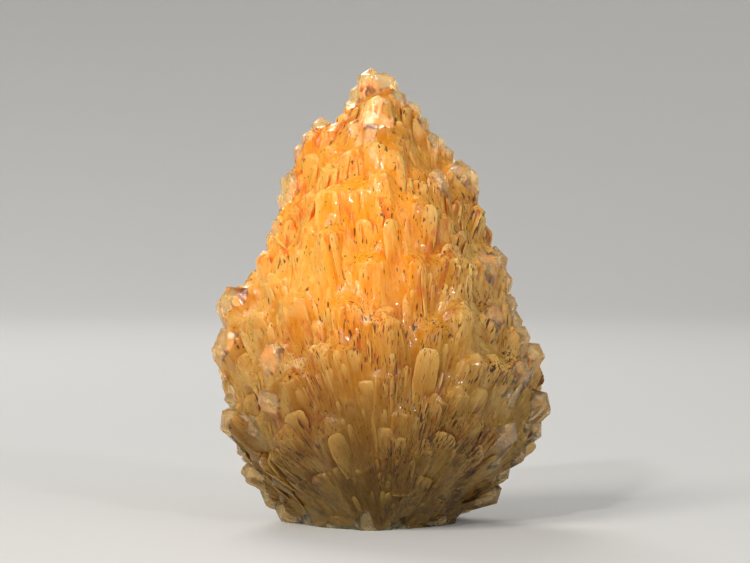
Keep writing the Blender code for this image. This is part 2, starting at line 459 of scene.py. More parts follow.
@dataclass(frozen=True)
class RoundedForm:
    """The solid's form with its crystals smoothed away.

    Attributes:
        voxel_mm: The grain that the solid is remade with.
        passes: How many times it is smoothed.
        swell_mm: How far it is pushed out after that.
        unevenness_mm: How far it is pushed in and out from place to place.
        waves_per_mm: How close together these places lie.
    """

    voxel_mm: float
    passes: int
    swell_mm: float
    unevenness_mm: float = 0.0
    waves_per_mm: float = 0.3

    def mesh(self, solid: Mesh) -> Mesh:
        """The form as a closed mesh of triangles."""
        helper = bpy.data.objects.new("form", solid)
        bpy.context.scene.collection.objects.link(helper)
        remesh = helper.modifiers.new("even grain", "REMESH")
        remesh.mode = "VOXEL"
        remesh.voxel_size = self.voxel_mm * MM
        smooth = helper.modifiers.new("smooth", "SMOOTH")
        smooth.factor = 0.5
        smooth.iterations = self.passes
        graph = bpy.context.evaluated_depsgraph_get()
        made = bpy.data.meshes.new_from_object(helper.evaluated_get(graph))
        bpy.data.objects.remove(helper)
        normals = [vertex.normal.copy() for vertex in made.vertices]
        for vertex, normal in zip(made.vertices, normals):
            wave = noise.noise(vertex.co / MM * self.waves_per_mm)
            push = self.swell_mm + self.unevenness_mm * 2 * wave
            vertex.co += normal * push * MM
        return made


class GrowthSurface:
    """The surface that the fine crystals grow on."""

    def __init__(self, mesh: Mesh) -> None:
        """Takes a closed mesh of triangles."""
        self.mesh = mesh
        self.tree = surface_tree(mesh)

    def spots(self, count: int, rng: np.random.Generator) -> Iterator[tuple[Vector, Vector]]:
        """Random places on the surface, spread evenly by area.

        Args:
            count: How many.
            rng: The source of chance.

        Yields:
            A point and the surface's normal there.
        """
        triangles = np.array([polygon.vertices for polygon in self.mesh.polygons])
        points = np.array([vertex.co for vertex in self.mesh.vertices])
        a, b, c = (points[triangles[:, i]] for i in range(3))
        normals = np.cross(b - a, c - a)
        areas = np.linalg.norm(normals, axis=1)
        picked = rng.choice(len(triangles), size=count, p=areas / areas.sum())
        u, v = rng.random((2, count, 1))
        over = (u + v) > 1
        u, v = np.where(over, 1 - u, u), np.where(over, 1 - v, v)
        places = a[picked] + (b - a)[picked] * u + (c - a)[picked] * v
        for place, i in zip(places, picked):
            yield Vector(place), Vector(normals[i] / areas[i])


def surface_tree(mesh: Mesh) -> BVHTree:
    """A tree of a mesh's faces, for casting rays at it."""
    return BVHTree.FromPolygons(
        [vertex.co for vertex in mesh.vertices], [polygon.vertices for polygon in mesh.polygons]
    )


class Probe:
    """Feels out the surface round a point with rays.

    The first ray goes straight up, the last nearly level, and START keeps all of them off the
    face that they leave.
    """

    GOLDEN_ANGLE = math.pi * (3 - math.sqrt(5))
    START = 0.02 * MM
    LOWEST = 0.85

    def __init__(self, tree: BVHTree, rays: int, reach: float) -> None:
        """Spreads the rays over a hemisphere.

        Args:
            tree: The surface.
            rays: How many rays each feel takes.
            reach: How far they go, in metres.
        """
        self.tree = tree
        self.reach = reach
        self.fan = []
        for i in range(rays):
            rise = 1 - (i + 0.5) / rays * self.LOWEST
            level = math.sqrt(1 - rise * rise)
            azimuth = i * self.GOLDEN_ANGLE
            self.fan.append(Vector((level * math.cos(azimuth), level * math.sin(azimuth), rise)))

    def enclosure(self, point: Vector, normal: Vector) -> float:
        """How shut in a point is: 0 in the open and 1 deep in a crevice."""
        turn = normal.to_track_quat("Z", "Y")
        start = point + normal * self.START
        shut = 0.0
        for ray in self.fan:
            distance = self.tree.ray_cast(start, turn @ ray, self.reach)[3]
            if distance is not None:
                shut += 1 - distance / self.reach
        return shut / len(self.fan)


class Spacing:
    """Keeps crystals from standing on one another, by a grid of cells."""

    def __init__(self, cell: float) -> None:
        """Sets the cell's side, the most that two crystals may be kept apart."""
        self.cell = cell
        self.cells: dict[tuple[int, ...], list[tuple[Vector, float]]] = {}

    def takes(self, point: Vector, axis: Vector, room: float, shingle: float) -> bool:
        """Takes a place if it is free.

        Args:
            point: The place.
            axis: The crystal's direction.
            room: How much room it needs across, in metres.
            shingle: How much less a distance along the axis counts.

        Returns:
            Whether the place was free.
        """
        key = tuple(int(math.floor(value / self.cell)) for value in point)
        for x in range(key[0] - 1, key[0] + 2):
            for y in range(key[1] - 1, key[1] + 2):
                for z in range(key[2] - 1, key[2] + 2):
                    for other, needed in self.cells.get((x, y, z), ()):
                        apart = point - other
                        along = apart.dot(axis)
                        beside = (apart - axis * along).length
                        if math.hypot(beside, along * shingle) < (room + needed) / 2:
                            return False
        self.cells.setdefault(key, []).append((point, room))
        return True


@dataclass
class CrystalCoat:
    """The fine crystals that cover the surface.

    Attributes:
        growing: How they fan out.
        surface: What they grow on.
        candidates: How many places are tried.
        cut_facing: How squarely a face looks down where it may be the flat cut's.
        cut_mm: How near the ground it then is.
        room: The room that a crystal needs, as a share of its breadth.
        shingle: How much less a distance along the growth counts.
        most_room_mm: The most that two crystals are kept apart.
        feelers: How many rays feel how shut in a place is.
        feeler_mm: How far they go.
        cap_facing: How squarely a face meets the growth where it counts as a tip's.
        cap_share: The share of the places on tips that are used.
        crevice_fill_mm: How far a crystal deep in a crevice is lifted out.
        crevice_growth: How much broader it is.
        crevice_blades: How much more often it is a blade.
        blade_share: How often a crystal in the open is a blade, and not a fibre.
        laid_share: How far the growth's direction is laid along the surface.
        wander_deg: How far a crystal strays from its direction.
        most_turn: The most that its corners are turned about its axis, in radians.
        most_lean: The most that its end is set to a side, as a share of its breadth.
        advances: How far past its place a tip may reach, in lengths, the most first.
        overhang_mm: How far off the surface a tip may stand.
        root_shares: How much of its length a crystal may keep, the most first.
        root_depth_mm: How deep its root has to lie.
        stray_shares: Where along it, in lengths, it is felt for standing off the surface.
        stray_mm: How far off the surface it may stand there.
        reach_mm: How far past the solid's box a tip may stand, on each axis.
        great_room: The room that a great crystal's tip needs, as a share of its breadth.
        great_lean: How far such crystals' ends spread to both sides, as a share of breadth.
        back_share: How much nearer the middle the great crystals on the back stand.
        back_shift_mm: How much they are shifted sideways.
        far_mm: How far off the middle a great crystal's place is looked for from.
        crystals: The crystals, once grown.
    """

    growing: GrowthField
    surface: GrowthSurface
    candidates: int = 30000
    cut_facing: float = 0.9
    cut_mm: float = 0.5
    room: float = 0.6
    shingle: float = 0.34
    most_room_mm: float = 4.6
    feelers: int = 9
    feeler_mm: float = 6.0
    cap_facing: float = 0.6
    cap_share: float = 0.6
    crevice_fill_mm: float = 1.2
    crevice_growth: float = 0.6
    crevice_blades: float = 0.3
    blade_share: float = 0.42
    laid_share: float = 0.95
    wander_deg: float = 3.0
    most_turn: float = math.pi / 3
    most_lean: float = 0.2
    advances: tuple[float, ...] = (0.45, 0.32, 0.2, 0.08, 0.0)
    overhang_mm: float = 0.15
    root_shares: tuple[float, ...] = (1.0, 0.8, 0.6, 0.45)
    root_depth_mm: float = 0.25
    stray_shares: tuple[float, ...] = (0.15, 0.3, 0.5)
    stray_mm: float = 0.4
    reach_mm: tuple[float, float, float] = (0.35, 0.3, 0.6)
    great_room: float = 0.8
    great_lean: float = 0.3
    back_share: float = 0.8
    back_shift_mm: float = 5.0
    far_mm: float = 60.0
    crystals: list[FineCrystal] = field(default_factory=list)

    def underneath(self, point: Vector, normal: Vector) -> bool:
        """Whether a place lies on the flat cut, where no crystal grows."""
        return normal.z < -self.cut_facing and point.z < self.cut_mm * MM

    def habit(self, facing: float, chance: float, shut: float) -> Habit:
        """Which kind of crystal grows at a place.

        Args:
            facing: How squarely the face there meets the growth.
            chance: A random share.
            shut: How shut in the place is.
        """
        if facing > self.cap_facing:
            return Habit.TOOTH
        blades = self.blade_share + shut * self.crevice_blades
        return Habit.BLADE if chance < blades else Habit.FIBRE

    def within(self, tip: Vector) -> bool:
        """Whether a tip stays within reach of the solid's box."""
        axes = zip(tip, *CAD_BOX, self.reach_mm)
        return all(low - reach * MM < value < high + reach * MM for value, low, high, reach in axes)

    def settled(self, point: Vector, axis: Vector, length: float, rise: Vector) -> Vector | None:
        """The outermost tip that still lies on the surface.

        Args:
            point: The crystal's place on the surface.
            axis: The way it points.
            length: Its length.
            rise: How its middle line is set off from the surface.

        Returns:
            The tip, or None if there is none.
        """
        for advance in self.advances:
            tip = point + rise + axis * (length * advance)
            near, normal, _, _ = self.surface.tree.find_nearest(tip)
            if (tip - near).dot(normal) < self.overhang_mm * MM:
                return tip
        return None

    def rooted(self, tip: Vector, axis: Vector, length: float) -> float | None:
        """The most of a crystal's length that leaves its root inside the surface, if any does."""
        for share in self.root_shares:
            root = tip - axis * (length * share)
            near, normal, _, _ = self.surface.tree.find_nearest(root)
            if (root - near).dot(normal) < -self.root_depth_mm * MM:
                return length * share
        return None

    def strays(self, tip: Vector, axis: Vector, length: float) -> bool:
        """Whether a crystal stands off the surface somewhere between its tip and its root."""
        for share in self.stray_shares:
            spot = tip - axis * (length * share)
            near, normal, _, _ = self.surface.tree.find_nearest(spot)
            if (spot - near).dot(normal) > self.stray_mm * MM:
                return True
        return False

    def laid(self, grown: Vector, normal: Vector) -> Vector:
        """The growth's direction, laid nearly all the way along the surface."""
        return (grown - normal * (normal.dot(grown) * self.laid_share)).normalized()

    def place_great(self, spacing: Spacing) -> None:
        """Places the great crystals on the front, and their like on the back.

        Args:
            spacing: What keeps the fine crystals off them.
        """
        rng = np.random.default_rng(SEED + 1)
        growth = Habit.PLATE.value
        for great in GREAT_CRYSTALS:
            for side in (-1, 1):
                flat, stand, lift, turn, lean, shift = rng.random(6)
                x_mm = great.x_mm
                if side > 0:
                    x_mm = x_mm * self.back_share + self.back_shift_mm * (shift - 0.5)
                start = Vector((x_mm * MM, side * self.far_mm * MM, great.z_mm * MM))
                point, normal, _, _ = self.surface.tree.ray_cast(start, Vector((0, -side, 0)))
                if point is None:
                    continue
                grown = self.growing.direction(point)
                tilt = math.radians(between(growth.tilt_deg, lift))
                axis = (self.laid(grown, normal) + normal * math.tan(tilt)).normalized()
                breadth = great.breadth_mm * MM
                flatness = between(growth.flatness, flat)
                proud = between(growth.proud_mm, stand) * MM
                tip = point + normal * (proud - breadth * flatness / 2)
                length = self.rooted(tip, axis, breadth * growth.slenderness)
                if length is None or not self.within(tip):
                    continue
                spacing.takes(point, grown, breadth * self.great_room, self.shingle)
                turn *= self.most_turn
                lean = (lean - 0.5) * self.great_lean
                self.crystals.append(
                    FineCrystal(
                        tip, axis, normal, breadth, flatness, growth, turn, lean, great.tone, length
                    )
                )

    def place(self) -> None:
        """Places every fine crystal, each where there is room for it."""
        rng = np.random.default_rng(SEED)
        probe = Probe(self.surface.tree, self.feelers, self.feeler_mm * MM)
        spacing = Spacing(self.most_room_mm * MM)
        self.place_great(spacing)
        for point, normal in self.surface.spots(self.candidates, rng):
            chance, size, flat, stand, tip_out, skip, tone = rng.random(7)
            wander = Vector(rng.normal(0, 0.5, 3)) * math.radians(self.wander_deg)
            turn = rng.uniform(0, self.most_turn)
            lean = rng.uniform(-self.most_lean, self.most_lean)
            if self.underneath(point, normal):
                continue
            grown = self.growing.direction(point)
            facing = normal.dot(grown)
            capping = facing > self.cap_facing
            if capping and skip > self.cap_share:
                continue
            shut = probe.enclosure(point, normal)
            growth = self.habit(facing, chance, shut).value
            low, high = growth.breadth_mm
            breadth = (low + (high - low) * size * size) * (1 + self.crevice_growth * shut) * MM
            if not spacing.takes(point, grown, breadth * self.room, self.shingle):
                continue
            tilt = math.radians(between(growth.tilt_deg, tip_out))
            axis = grown.normalized() if capping else self.laid(grown, normal)
            axis = (axis + normal * math.tan(tilt) + wander).normalized()
            flatness = between(growth.flatness, flat)
            proud = (between(growth.proud_mm, stand) + shut * self.crevice_fill_mm) * MM
            length = breadth * growth.slenderness
            if capping:
                tip = point + axis * proud
            else:
                tip = self.settled(point, axis, length, normal * (proud - breadth * flatness / 2))
            if tip is None or not self.within(tip):
                continue
            length = self.rooted(tip, axis, length)
            if length is not None and not self.strays(tip, axis, length):
                self.crystals.append(
                    FineCrystal(tip, axis, normal, breadth, flatness, growth, turn, lean, tone, length)
                )


@dataclass
class SurfaceReading:
    """What the finish needs to know of the surface.

    Attributes:
        mesh: The body's mesh, all triangles.
        crystals: The fine crystals in it.
        heart: A tree of the cloudy heart's surface.
        feelers: How many rays feel for a crevice.
        hollow_reach_mm: How far they go.
        rim_mm: How far inside the heart the paler rim begins, and outside it ends.
        tip_share: How far a tip's paleness reaches down its crystal, in lengths.
        touch: How near a face is to the crystal it is part of.
    """

    mesh: Mesh
    crystals: list[FineCrystal]
    heart: BVHTree
    feelers: int = 7
    hollow_reach_mm: float = 4.0
    rim_mm: float = 1.6
    tip_share: float = 0.4
    touch: float = 0.005 * MM

    def write(self) -> None:
        """Writes hollow, rim and flank at each point, and tone and tip at each face's corners."""
        tree = surface_tree(self.mesh)
        crevices = Probe(tree, self.feelers, self.hollow_reach_mm * MM)
        hollow, rim, flank = [], [], []
        for vertex in self.mesh.vertices:
            hollow.append(crevices.enclosure(vertex.co, vertex.normal))
            near, normal, _, _ = self.heart.find_nearest(vertex.co)
            outside = (vertex.co - near).dot(normal) / (self.rim_mm * MM)
            rim.append(min(max(0.5 + outside / 2, 0.0), 1.0))
            flank.append(1 - abs(normal.y))
        tone, tip = [], []
        for polygon, owner in zip(self.mesh.polygons, self.owners()):
            for corner in polygon.vertices:
                tone.append(0.5 if owner is None else owner.tone)
                tip.append(0.0 if owner is None else self.tipness(owner, self.mesh.vertices[corner].co))
        for name, domain, values in (
            ("hollow", "POINT", hollow),
            ("rim", "POINT", rim),
            ("flank", "POINT", flank),
            ("tone", "CORNER", tone),
            ("tip", "CORNER", tip),
        ):
            attribute = self.mesh.attributes.new(name, "FLOAT", domain)
            attribute.data.foreach_set("value", np.array(values, np.float32))

    def tipness(self, crystal: FineCrystal, point: Vector) -> float:
        """How near the tip of a crystal a point is: 1 at the tip."""
        back = (crystal.tip - point).dot(crystal.axis) / (crystal.length * self.tip_share)
        return min(max(1 - back, 0.0), 1.0)

    def owners(self) -> list[FineCrystal | None]:
        """The fine crystal that each face is part of, if any."""
        corners, faces = [], []
        shape = FineCrystal.faces()
        for crystal in self.crystals:
            first = len(corners)
            corners += crystal.corners()
            faces += [tuple(first + corner for corner in face) for face in shape]
        tree = BVHTree.FromPolygons(corners, faces)
        found: list[FineCrystal | None] = []
        for polygon in self.mesh.polygons:
            index = tree.find_nearest(polygon.center, self.touch)[2]
            found.append(None if index is None else self.crystals[index // len(shape)])
        return found


class ShaderBench:
    """Puts a material's nodes together.

    Attributes:
        material: The material.
        place: The place on the body, in millimetres.
    """

    def __init__(self, name: str) -> None:
        """Makes a material of this name, with its output and its surface shader."""
        self.material = bpy.data.materials.new(name)
        self.material.use_nodes = True
        self.nodes, self.links = self.material.node_tree.nodes, self.material.node_tree.links
        corner = self.nodes.new("ShaderNodeTexCoord").outputs["Object"]
        self.place = self.vector("SCALE", corner, 1 / MM)

    def put(self, socket: Socket, value: object) -> None:
        """Links a socket into another, or sets it to a plain value."""
        if isinstance(value, Socket):
            self.links.new(value, socket)
        elif isinstance(value, tuple) and len(value) == 3 and socket.type == "RGBA":
            socket.default_value = (*value, 1.0)
        else:
            socket.default_value = value

    def put_all(self, node: bpy.types.Node, values: dict[str, object]) -> None:
        """Puts values into a node's sockets, by their names."""
        for name, value in values.items():
            self.put(node.inputs[name], value)

    def dress(self, values: dict[str, object]) -> None:
        """Puts values into the surface shader's sockets."""
        self.put_all(self.nodes["Principled BSDF"], values)

    def soak(self, colour: Colour, density: float) -> None:
        """Fills the piece with a medium that absorbs light."""
        node = self.nodes.new("ShaderNodeVolumeAbsorption")
        self.put_all(node, {"Color": colour, "Density": density})
        self.put(self.nodes["Material Output"].inputs["Volume"], node.outputs["Volume"])

    def number(self, operation: str, *values: object) -> Socket:
        """A sum on numbers, such as ADD or MULTIPLY."""
        node = self.nodes.new("ShaderNodeMath")
        node.operation = operation
        for socket, value in zip(node.inputs, values):
            self.put(socket, value)
        return node.outputs[0]

    def vector(self, operation: str, *values: object) -> Socket:
        """A sum on vectors, such as SUBTRACT or SCALE, or a LENGTH."""
        node = self.nodes.new("ShaderNodeVectorMath")
        node.operation = operation
        sockets = [node.inputs[0], node.inputs["Scale"]] if operation == "SCALE" else node.inputs
        for socket, value in zip(sockets, values):
            self.put(socket, value)
        return node.outputs["Value" if operation == "LENGTH" else "Vector"]

    def parts(self, vector: Socket) -> list[Socket]:
        """The x, y and z of a vector."""
        node = self.nodes.new("ShaderNodeSeparateXYZ")
        self.put(node.inputs[0], vector)
        return list(node.outputs)

    def blend(self, share: object, first: object, second: object) -> Socket:
        """A mix of two colours, from the first to the second."""
        node = self.nodes.new("ShaderNodeMix")
        node.data_type = "RGBA"
        self.put(node.inputs[0], share)
        self.put(node.inputs[6], first)
        self.put(node.inputs[7], second)
        return node.outputs[2]

    def step(self, value: Socket, start: float, full: float) -> Socket:
        """A smooth step from 0 at its start to 1 where it is full, which may be lower down."""
        node = self.nodes.new("ShaderNodeMapRange")
        node.interpolation_type = "SMOOTHSTEP"
        low, high = min(start, full), max(start, full)
        ends = (1.0, 0.0) if start > full else (0.0, 1.0)
        for socket, number in zip(node.inputs, (value, low, high, *ends)):
            self.put(socket, number)
        return node.outputs[0]

    def noise(self, vector: Socket, scale: float = 1.0, detail: float = 2.0) -> Socket:
        """Soft noise from 0 to 1.

        Args:
            vector: Where it is read.
            scale: How fine it is.
            detail: How many finer layers it has.
        """
        node = self.nodes.new("ShaderNodeTexNoise")
        self.put_all(node, {"Vector": vector, "Scale": scale, "Detail": detail})
        return node.outputs["Fac"]

    def bump(self, height: Socket, strength: float, distance_mm: float) -> Socket:
        """The surface's normal with a relief on it.

        Args:
            height: The relief, from 0 to 1.
            strength: How much of it shows.
            distance_mm: How high it is.
        """
        node = self.nodes.new("ShaderNodeBump")
        self.put_all(node, {"Strength": strength, "Distance": distance_mm * MM, "Height": height})
        return node.outputs["Normal"]

    def closeness(self, inside: bool, reach_mm: float) -> Socket:
        """How near other faces of the same piece are, from 0 to 1.

        Args:
            inside: Whether to feel inwards, for thin edges, or outwards, for crevices.
            reach_mm: How far.
        """
        node = self.nodes.new("ShaderNodeAmbientOcclusion")
        node.inside = inside
        node.only_local = True
        node.samples = 4
        self.put(node.inputs["Distance"], reach_mm * MM)
        return self.number("SUBTRACT", 1.0, node.outputs["AO"])

    def reading(self, name: str) -> Socket:
        """A reading of the surface, by its name."""
        node = self.nodes.new("ShaderNodeAttribute")
        node.attribute_name = name
        return node.outputs["Fac"]


@dataclass(frozen=True)
class Layer:
    """A layer of colour, which shows where a reading passes from one value to another.

    Attributes:
        start: The reading from which the layer shows.
        full: The reading from which it shows in full. It may be the lower one.
        cover: How much of what lies under it it covers there.
    """

    start: float
    full: float
    cover: float = 1.0

    def over(self, bench: ShaderBench, reading: Socket) -> Socket:
        """How much the layer covers at each place."""
        shown = bench.step(reading, self.start, self.full)
        return shown if self.cover == 1.0 else bench.number("MULTIPLY", shown, self.cover)


@dataclass(frozen=True)
class Shades:
    """One colour of the calcite as it changes over the specimen, partly its own colour and partly
    painted light and shade.

    Attributes:
        glow_painted_light: In the upper left, where it is brightest: painted light.
        ochre: Round that.
        tan: To the right, partly its own colour and partly painted shade that darkens that side.
        olive_painted_shade: At the foot, partly its own brownish colour and partly painted shade that
            darkens the foot.
    """

    glow_painted_light: Colour
    ochre: Colour
    tan: Colour
    olive_painted_shade: Colour

    # Painted light: the colours are lightest round this middle in the upper left.
    PAINTED_LIGHT_MIDDLE_MM = (-9.0, 0.0, 51.0)
    PAINTED_LIGHT_FORM = (1.0, 0.2, 0.8)
    TAN_LEAN = 0.3
    WANDER_MM = 30.0
    OCHRE_OFF_MM = Layer(6.0, 23.0)
    # Painted shade, in part: tan darkens the colours to the right and lower down.
    TAN_SHADE_RIGHT_MM = Layer(3.0, 25.0, 0.85)
    # Painted shade, in part: the foot colour darkens everything from 42 mm down to 4 mm.
    OLIVE_SHADE_UP_MM = Layer(42.0, 4.0, 0.95)

    def over(self, bench: ShaderBench, masks: tuple[Socket, ...]) -> Socket:
        """The colour at each place, by the share of each shade after the first."""
        colour = self.glow_painted_light
        for mask, shade in zip(masks, (self.ochre, self.tan, self.olive_painted_shade)):
            colour = bench.blend(mask, colour, shade)
        return colour

    @classmethod
    def masks(cls, bench: ShaderBench) -> tuple[Socket, ...]:
        """The share of each shade after the first, at each place."""
        x, _, z = bench.parts(bench.place)
        wander = bench.noise(bench.place, 0.05)
        wander = bench.number("MULTIPLY_ADD", wander, cls.WANDER_MM, -cls.WANDER_MM / 2)
        # Painted light: how far a place lies from the lightest middle in the upper left.
        off = bench.vector("SUBTRACT", bench.place, cls.PAINTED_LIGHT_MIDDLE_MM)
        off = bench.vector("LENGTH", bench.vector("MULTIPLY", off, cls.PAINTED_LIGHT_FORM))
        off = bench.number("MULTIPLY_ADD", wander, 0.6, off)
        # Painted shade: these shares grow to the right, lower down and towards the foot.
        lower = bench.number("MULTIPLY_ADD", z, -cls.TAN_LEAN, cls.TAN_LEAN * cls.PAINTED_LIGHT_MIDDLE_MM[2])
        right = bench.number("ADD", bench.number("ADD", x, lower), wander)
        up = bench.number("MULTIPLY_ADD", wander, 0.5, z)
        return (
            cls.OCHRE_OFF_MM.over(bench, off),
            cls.TAN_SHADE_RIGHT_MM.over(bench, right),
            cls.OLIVE_SHADE_UP_MM.over(bench, up),
        )


@dataclass(frozen=True)
class Fan:
    """Coordinates that fan out with the growth, on which its patterns are drawn out.

    Attributes:
        growing: Where the crystals fan out from.
        mean_reach_mm: The distance up the fan at which patterns have their true size.
    """

    growing: GrowthField
    mean_reach_mm: float = 35.0

    def spread(self, bench: ShaderBench) -> Socket:
        """The angle from upright times the mean reach, the depth and the distance, in mm."""
        x, y, z = bench.parts(bench.place)
        x = bench.number("SUBTRACT", x, self.growing.centre_x_mm)
        z = bench.number("SUBTRACT", z, self.growing.centre_z_mm)
        round_mm = bench.number("MULTIPLY", bench.number("ARCTAN2", x, z), self.mean_reach_mm)
        far = bench.number("MULTIPLY_ADD", x, x, bench.number("MULTIPLY", z, z))
        node = bench.nodes.new("ShaderNodeCombineXYZ")
        bench.put_all(node, {"X": round_mm, "Y": y, "Z": bench.number("SQRT", far)})
        return node.outputs[0]


@dataclass(frozen=True)
class Streaks:
    """A pattern that is drawn out along the growth.

    Attributes:
        across: How fine it is across the growth, over the whole fan.
        lengthwise: How fine it is along it, per millimetre.
        detail: How many finer layers it has.
    """

    across: float
    lengthwise: float
    detail: float = 2.0

    def over(self, bench: ShaderBench, fan: Fan, spread: Socket) -> Socket:
        """The pattern, from 0 to 1, on the fan's coordinates."""
        across = self.across / fan.mean_reach_mm
        along = bench.vector("MULTIPLY", spread, (across, across, self.lengthwise))
        return bench.noise(along, detail=self.detail)


@dataclass(frozen=True)
class CloudyFinish:
    """Cloudy calcite: its colours and marks, and how light spreads under its surface.

    Attributes:
        fan: What the streaks follow.
        scatter_mm: How far light spreads under the surface.
        gloss_roughness: The roughness of its shiniest parts.
        deep: Its own colour, with the painted light and shade that each of these Shades carries.
        pale: Its colour where crystals stand out or are thin, and at their tips.
        rust: The colour of the stains.
        speck: The colour of the grains.
        edge_mm: How thin a thin edge is.
        seam_mm: How far rust reaches out of a seam.
        fine: The fine streaks in its colour, its gloss and its relief.
        broad: The broad streaks in its colour.
        runs: The streaks of rust.
        grains: Each layer of grains, and how rare they are.
        ridges: The striations in its relief.
    """

    fan: Fan
    scatter_mm: float = 1.3
    gloss_roughness: float = 0.2
    deep: Shades = Shades(
        glow_painted_light=(1.0, 0.36, 0.008),
        ochre=(0.58, 0.225, 0.007),
        tan=(0.52, 0.26, 0.020),
        olive_painted_shade=(0.080, 0.042, 0.002),
    )
    pale: Shades = Shades(
        glow_painted_light=(1.0, 0.57, 0.14),
        ochre=(0.82, 0.50, 0.14),
        tan=(0.76, 0.49, 0.16),
        olive_painted_shade=(0.28, 0.17, 0.03),
    )
    rust: Shades = Shades(
        glow_painted_light=(0.80, 0.17, 0.005),
        ochre=(0.54, 0.12, 0.005),
        tan=(0.30, 0.085, 0.010),
        olive_painted_shade=(0.08, 0.026, 0.003),
    )
    speck: Shades = Shades(
        glow_painted_light=(0.17, 0.040, 0.006),
        ochre=(0.11, 0.028, 0.006),
        tan=(0.06, 0.018, 0.006),
        olive_painted_shade=(0.014, 0.005, 0.002),
    )
    edge_mm: float = 1.2
    seam_mm: float = 0.9
    fine: Streaks = Streaks(60.0, 0.08, 3.0)
    broad: Streaks = Streaks(13.0, 0.05)
    runs: tuple[Streaks, ...] = (Streaks(34.0, 0.13), Streaks(75.0, 0.22))
    grains: tuple[tuple[Streaks, float], ...] = (
        (Streaks(90.0, 0.42, 1.0), 0.70),
        (Streaks(55.0, 0.3, 1.0), 0.71),
        (Streaks(150.0, 0.9, 1.0), 0.72),
    )
    ridges: Streaks = Streaks(110.0, 0.2)

    def material(self) -> Material:
        """The cloudy calcite's material."""
        bench = ShaderBench("cloudy calcite")
        spread = self.fan.spread(bench)
        fine = self.fine.over(bench, self.fan, spread)
        masks = Shades.masks(bench)
        rust = self.rust.over(bench, masks)
        colour = self.body_colour(bench, masks, rust, spread, fine)
        colour = self.stains(bench, colour, rust, spread)
        colour = self.specks(bench, colour, self.speck.over(bench, masks), spread)
        bench.dress(
            {
                "Base Color": colour,
                "Roughness": self.roughness(bench, fine),
                "Normal": self.relief(bench, spread, fine),
                "IOR": 1.5,
                "Specular IOR Level": 0.2,
                "Coat Weight": 0.22,
                "Coat Roughness": 0.07,
                "Coat Normal": bench.bump(bench.noise(bench.place, 0.7, 0.0), 0.7, 0.3),
                "Subsurface Weight": 1.0,
                "Subsurface Radius": (1.0, 0.55, 0.25),
                "Subsurface Scale": self.scatter_mm * MM,
            }
        )
        return bench.material

    def body_colour(
        self, bench: ShaderBench, masks: tuple[Socket, ...], rust: Socket, spread: Socket, fine: Socket
    ) -> Socket:
        """The deep colour, the pale one where crystals stand out or end, and a touch of rust.

        Args:
            bench: The material's bench.
            masks: The share of each shade.
            rust: The rust's colour.
            spread: The fan's coordinates.
            fine: The fine streaks.
        """
        colour, pale = self.deep.over(bench, masks), self.pale.over(bench, masks)
        tone, height = bench.reading("tone"), bench.parts(bench.place)[2]
        broad = self.broad.over(bench, self.fan, spread)
        in_open = Layer(0.3, 0.05).over(bench, bench.reading("hollow"))
        below_crown = bench.number("MULTIPLY_ADD", bench.step(height, 58.0, 44.0), 0.65, 0.3)
        on_flank = Layer(0.1, 0.55).over(bench, bench.reading("flank"))
        pale_layers = (
            Layer(0.4, 0.75, 0.4).over(bench, bench.reading("rim")),
            bench.number("MULTIPLY", bench.reading("tip"), in_open),
            Layer(0.52, 0.72, 0.35).over(bench, fine),
            Layer(0.6, 1.0, 0.38).over(bench, tone),
            Layer(0.45, 0.7, 0.25).over(bench, broad),
            bench.number("MULTIPLY", on_flank, below_crown),
            Layer(0.1, 0.5).over(bench, bench.closeness(True, self.edge_mm)),
        )
        for cover in pale_layers:
            colour = bench.blend(bench.number("MULTIPLY", cover, 0.65), colour, pale)
        for layer, reading in ((Layer(0.4, 0.0, 0.22), tone), (Layer(0.48, 0.3, 0.22), fine)):
            colour = bench.blend(layer.over(bench, reading), colour, rust)
        return colour

    def stains(self, bench: ShaderBench, colour: Socket, rust: Socket, spread: Socket) -> Socket:
        """Rust that has settled in the crevices and runs along the growth.

        Args:
            bench: The material's bench.
            colour: The colour under it.
            rust: Its own colour.
            spread: The fan's coordinates.
        """
        hollow = Layer(0.12, 0.42).over(bench, bench.reading("hollow"))
        patch = Layer(0.42, 0.62).over(bench, bench.noise(bench.place, 0.11))
        settled = bench.number("MULTIPLY", hollow, patch)
        colour = bench.blend(bench.number("MULTIPLY", settled, 0.75), colour, rust)
        seam = Layer(0.3, 0.75, 0.6).over(bench, bench.closeness(False, self.seam_mm))
        colour = bench.blend(seam, colour, rust)
        for streaks in self.runs:
            run = Layer(0.55, 0.66).over(bench, streaks.over(bench, self.fan, spread))
            run = bench.number("MULTIPLY", bench.number("MULTIPLY", run, patch), 0.75)
            colour = bench.blend(run, colour, rust)
        return colour

    def specks(self, bench: ShaderBench, colour: Socket, speck: Socket, spread: Socket) -> Socket:
        """Small dark grains, drawn out along the growth and thicker low down and to the right.

        Args:
            bench: The material's bench.
            colour: The colour under them.
            speck: Their own colour.
            spread: The fan's coordinates.
        """
        x, _, z = bench.parts(bench.place)
        where = bench.number("ADD", bench.step(z, 62.0, 12.0), bench.step(x, -18.0, 22.0))
        cloud = Layer(0.42, 0.66).over(bench, bench.noise(bench.place, 0.12))
        share = bench.number("MULTIPLY", bench.number("MULTIPLY_ADD", where, 0.35, 0.03), cloud)
        for streaks, rarity in self.grains:
            grain = bench.number("MULTIPLY_ADD", share, 0.17, streaks.over(bench, self.fan, spread))
            colour = bench.blend(Layer(rarity, rarity + 0.05, 0.9).over(bench, grain), colour, speck)
        return colour

